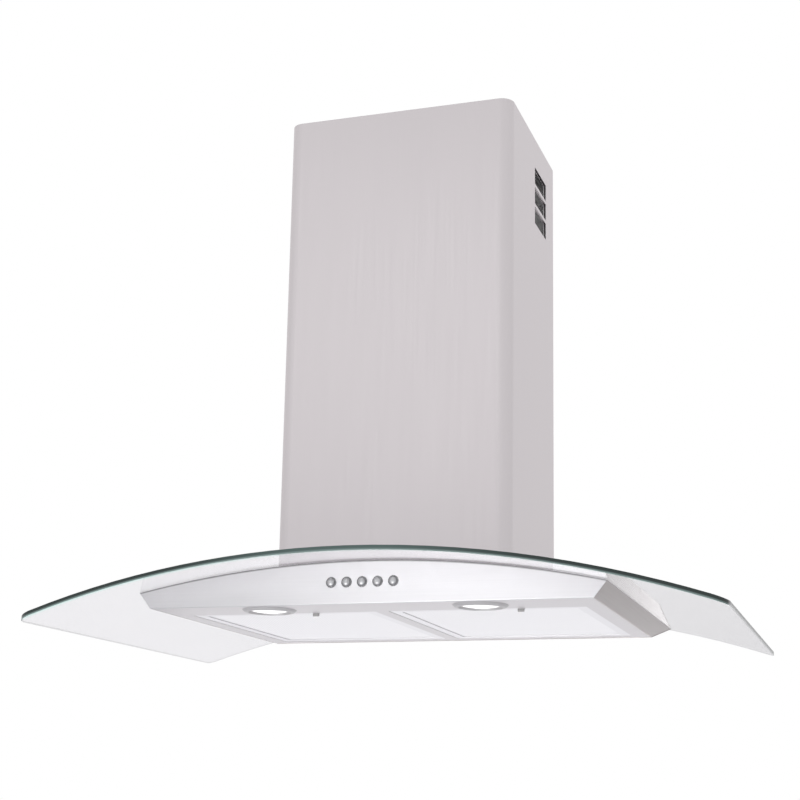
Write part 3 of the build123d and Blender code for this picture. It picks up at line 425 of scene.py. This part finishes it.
def lit_lens(name):
    """Pressed lamp glass, lit from behind: brightest in the middle, with rings moulded in it."""
    groove_grey = (0.46, 0.46, 0.45)
    ridge_grey = (0.66, 0.66, 0.65)
    finish = Finish(name)
    x, y, _ = finish.axes()
    aside = finish.math("SUBTRACT", finish.math("ABSOLUTE", x), lens_x)
    behind = finish.math("SUBTRACT", y, lens_y)
    reach = finish.math("DIVIDE", finish.hypotenuse(aside, behind), lens_radius)
    ring = finish.ripple(finish.math("MULTIPLY", reach, math.pi * lens_rings))
    pebble = finish.noise(700.0, detail=2.0)
    finish.feed("Base Color", finish.blend(ring, groove_grey, ridge_grey))
    finish.feed("Roughness", finish.between(pebble, 0.18, 0.3))
    glow = finish.between(reach, 0.85, 0.3, start=0.1, stop=0.95)
    rings = finish.between(ring, 0.85, 1.0, start=0.0, stop=1.0)
    finish.feed("Emission Strength", finish.math("MULTIPLY", glow, rings))
    finish.set(Emission_Color=(1.0, 0.985, 0.95, 1.0), Coat_Weight=0.5)
    relief = finish.math("ADD", ring, finish.math("MULTIPLY", pebble, 0.3))
    finish.bump(relief, strength=0.3, distance=0.0004)
    return finish.material


finishes = {}


def add(make, name, *colour, **looks):
    """Make a finish for the slot of this name in the record."""
    finishes[name] = make(name, *colour, **looks)


# Noise scales along X, Y and Z; the small one lies along the brushing.
chimney_grain = (520, 520, 7)
fascia_grain = (7, 700, 700)
body_grain = (500, 7, 500)
pan_grain = (7, 600, 600)
deck_grain = (7, 500, 500)

chimney_looks = {"grain": chimney_grain, "rough": 0.42, "streak": 0.02, "painted_light_inside": True}
fascia_looks = {"grain": fascia_grain, "rough": 0.42, "streak": 0.035, "gap_shadow": True}

add(brushed, "chimney_steel", (0.615, 0.58, 0.595), **chimney_looks)
add(brushed, "fascia_steel", (0.615, 0.608, 0.625), **fascia_looks)
# The body's steel is much darker than the chimney and fascia steel: painted shade and dark reflection
# for its end panels.
add(brushed, "body_steel", (0.30, 0.27, 0.265), grain=body_grain, rough=0.36, streak=0.05)
add(brushed, "pan_steel", (0.60, 0.58, 0.595), grain=pan_grain, rough=0.38, streak=0.03)
add(brushed, "deck_steel", (0.80, 0.79, 0.81), grain=deck_grain, rough=0.40)
add(sheet_zinc, "galvanised_steel", (0.72, 0.72, 0.72))
add(bright, "fastener_zinc", (0.76, 0.76, 0.79), rough=0.20)
add(moulded, "gasket_rubber", (0.03, 0.03, 0.033), rough=0.75)
add(moulded, "housing_plastic", (0.11, 0.11, 0.12), rough=0.48)
add(moulded, "impeller_plastic", (0.05, 0.05, 0.055), rough=0.42)
add(cast, "motor_aluminium", (0.66, 0.67, 0.69))
add(moulded, "flap_plastic", (0.22, 0.23, 0.25), rough=0.5)
add(moulded, "box_plastic", (0.06, 0.06, 0.065), rough=0.5)
add(moulded, "gland_plastic", (0.04, 0.04, 0.045), rough=0.4)
add(moulded, "capacitor_shell", (0.78, 0.78, 0.75), rough=0.3, relief=0.04)
add(bright, "bezel_chrome", (0.60, 0.59, 0.60), rough=0.62)
add(lit_lens, "lamp_glass")
add(cast, "lamp_aluminium", (0.68, 0.69, 0.71))
add(brushed, "filter_frame_aluminium", (0.79, 0.78, 0.80), grain=pan_grain, rough=0.46, streak=0.03)
add(expanded_mesh, "filter_mesh_aluminium", (0.89, 0.88, 0.90))
add(moulded, "latch_plastic", (0.35, 0.345, 0.34), rough=0.45)
add(bright, "button_chrome", (0.56, 0.56, 0.57), rough=0.40)
# The collars are real parts; their dark tone is painted shade of the recess around each button.
add(bright, "collar_chrome", (0.30, 0.30, 0.31), rough=0.18)
add(clear_glass, "canopy_glass")

for part in frame["record"]["subparts"]:
    piece = nodes_by_name[part["node"]]
    for slot in piece.material_slots:
        slot.link = "OBJECT"
        slot.material = finishes[part["material_slot"]]


# ---------------------------------------------------------------- glass with polished edges
def arch_normal(point):
    """Direction square to the arch at a point, away from its axis."""
    return Vector((point.x, 0.0, point.z - arch_centre_z)).normalized()


def round_rim(sheet):
    """Weld the sheet, merge its flat facets and grind its rim round."""
    bmesh.ops.remove_doubles(sheet, verts=sheet.verts, dist=weld_distance)
    bmesh.ops.dissolve_limit(
        sheet, angle_limit=flat_angle, verts=sheet.verts, edges=sheet.edges, delimit={"NORMAL"}
    )
    closed = [edge for edge in sheet.edges if len(edge.link_faces) == 2]
    rim = [edge for edge in closed if edge.calc_face_angle() > rim_angle]
    bmesh.ops.bevel(sheet, geom=rim, offset=rim_width, segments=3, profile=0.5, affect="EDGES")

    # A rounded corner may stick out by a hair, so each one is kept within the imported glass's box.
    for corner in sheet.verts:
        for axis in range(3):
            corner.co[axis] = min(max(corner.co[axis], glass_low[axis]), glass_high[axis])


def sort_faces(sheet):
    """Material 0 on the two big faces, 1 on the front edge, 2 on the other edges and in the holes."""
    for face in sheet.faces:
        middle = face.calc_center_median()
        if abs(face.normal.dot(arch_normal(middle))) > big_face:
            face.material_index = 0
        elif -face.normal.y > front_face and middle.y < fascia_low.y:
            face.material_index = 1
        else:
            face.material_index = 2
        face.smooth = True


def set_normals(mesh):
    """True arch normals on the two big faces, so that the rim's rounding doesn't shade them."""
    normals = []
    for face in mesh.polygons:
        for index in face.vertices:
            outward = arch_normal(mesh.vertices[index].co)
            if face.material_index:
                normals.append(face.normal)
            elif face.normal.dot(outward) > 0:
                normals.append(outward)
            else:
                normals.append(-outward)
    mesh.normals_split_custom_set(normals)


def polished_glass():
    """The canopy with its rim ground round, and with two finishes for the rim."""
    mesh = nodes_by_name["glass_canopy"].data.copy()
    mesh.materials.clear()
    mesh.materials.append(finishes["canopy_glass"])
    mesh.materials.append(glass_front_edge("glass_front_edge"))
    mesh.materials.append(glass_side_edge("glass_side_edge"))
    sheet = bmesh.new()
    sheet.from_mesh(mesh)
    round_rim(sheet)
    sort_faces(sheet)
    sheet.to_mesh(mesh)
    sheet.free()
    set_normals(mesh)
    glass = bpy.data.objects.new("canopy_glass_polished", mesh)
    bpy.context.scene.collection.objects.link(glass)
    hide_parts("glass_canopy")
    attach(glass, "hood")


# ---------------------------------------------------------------- room, light and camera
def room():
    """White to the eye and through glass, pale grey as a light.

    Reflections meet a grey horizon that turns to white further up.
    """
    world = bpy.data.worlds.new("studio")
    bpy.context.scene.world = world
    world.use_nodes = True
    nodes = world.node_tree.nodes
    links = world.node_tree.links
    path = nodes.new("ShaderNodeLightPath")

    def backdrop(colour):
        node = nodes.new("ShaderNodeBackground")
        node.inputs["Color"].default_value = colour
        return node

    def choose(switch, first, second):
        mix = nodes.new("ShaderNodeMixShader")
        links.new(switch, mix.inputs["Fac"])
        links.new(first.outputs[0], mix.inputs[1])
        links.new(second.outputs[0], mix.inputs[2])
        return mix

    direction = nodes.new("ShaderNodeTexCoord")
    split = nodes.new("ShaderNodeSeparateXYZ")
    links.new(direction.outputs["Generated"], split.inputs["Vector"])
    rise = nodes.new("ShaderNodeMapRange")
    rise.inputs["From Min"].default_value = horizon_band[0]
    rise.inputs["From Max"].default_value = horizon_band[1]
    links.new(split.outputs["Z"], rise.inputs["Value"])
    mirrored = choose(rise.outputs["Result"], backdrop(horizon_grey), backdrop(backdrop_white))
    seen = nodes.new("ShaderNodeMath")
    seen.operation = "MAXIMUM"
    links.new(path.outputs["Is Camera Ray"], seen.inputs[0])
    links.new(path.outputs["Is Transmission Ray"], seen.inputs[1])
    lit = choose(path.outputs["Is Glossy Ray"], backdrop(room_grey), mirrored)
    final = choose(seen.outputs[0], lit, backdrop(backdrop_white))
    links.new(final.outputs[0], nodes["World Output"].inputs["Surface"])


def floor():
    """Pale painted floor with faint patches, paler away from its middle."""
    mesh = bpy.data.meshes.new("floor")
    corners = [(x * floor_half, y * floor_half, 0) for x, y in ((-1, -1), (1, -1), (1, 1), (-1, 1))]
    mesh.from_pydata(corners, [], [(0, 1, 2, 3)])
    ground = bpy.data.objects.new("floor", mesh)
    ground.location = (0.0, 0.0, floor_z)
    bpy.context.scene.collection.objects.link(ground)
    finish = Finish("floor_paint")
    near = finish.blend(finish.noise(0.6, detail=2.0), *floor_patches)
    reach = finish.nodes.new("ShaderNodeVectorMath")
    reach.operation = "LENGTH"
    finish.join(finish.place, reach.inputs[0])
    far = finish.between(reach.outputs["Value"], 0.0, 1.0, *floor_fade)
    finish.feed("Base Color", finish.blend(far, near, floor_far))
    finish.set(Roughness=0.8)
    mesh.materials.append(finish.material)


def soft_lamp(name, place, target, width, height, watts):
    """A rectangular lamp at a place, turned to a target."""
    data = bpy.data.lights.new(name, "AREA")
    data.shape = "RECTANGLE"
    data.size = width
    data.size_y = height
    data.energy = watts
    lamp = bpy.data.objects.new(name, data)
    lamp.location = place
    lamp.rotation_euler = (Vector(target) - Vector(place)).to_track_quat("-Z", "Y").to_euler()
    lamp.visible_camera = False
    bpy.context.scene.collection.objects.link(lamp)


def camera():
    """The view from the front right and below, looking up, as in the photo."""
    cos_yaw, sin_yaw = math.cos(camera_yaw), math.sin(camera_yaw)
    cos_pitch, sin_pitch = math.cos(camera_pitch), math.sin(camera_pitch)
    cos_roll, sin_roll = math.cos(camera_roll), math.sin(camera_roll)
    ahead = Vector((-sin_yaw * cos_pitch, cos_yaw * cos_pitch, sin_pitch))
    level = Vector((cos_yaw, sin_yaw, 0.0))
    upright = level.cross(ahead)
    right = cos_roll * level + sin_roll * upright
    up = cos_roll * upright - sin_roll * level
    data = bpy.data.cameras.new("view")
    data.sensor_width = camera_sensor
    data.lens = camera_lens
    data.shift_y = camera_shift_y
    data.clip_start = camera_nearest
    data.clip_end = camera_farthest
    holder = bpy.data.objects.new("view", data)
    turn = Matrix((right, up, -ahead)).transposed().to_4x4()
    holder.matrix_world = Matrix.Translation(camera_place) @ turn
    bpy.context.scene.collection.objects.link(holder)
    bpy.context.scene.camera = holder


polished_glass()
room()
floor()
soft_lamp("key", place=(-0.60, -2.5, -2.0), target=(0.0, 0.0, -0.6), width=0.8, height=0.8, watts=23.0)
soft_lamp("front", place=(-0.6, -2.5, 0.4), target=(0.0, 0.0, -0.4), width=1.2, height=1.2, watts=2.0)
soft_lamp("back", place=(-0.65, 3.3, -1.22), target=(0.0, 0.0, -0.68), width=2.6, height=0.42, watts=8.5)
camera()

bpy.context.scene.view_settings.view_transform = "Standard"

bpy.context.view_layer.update()
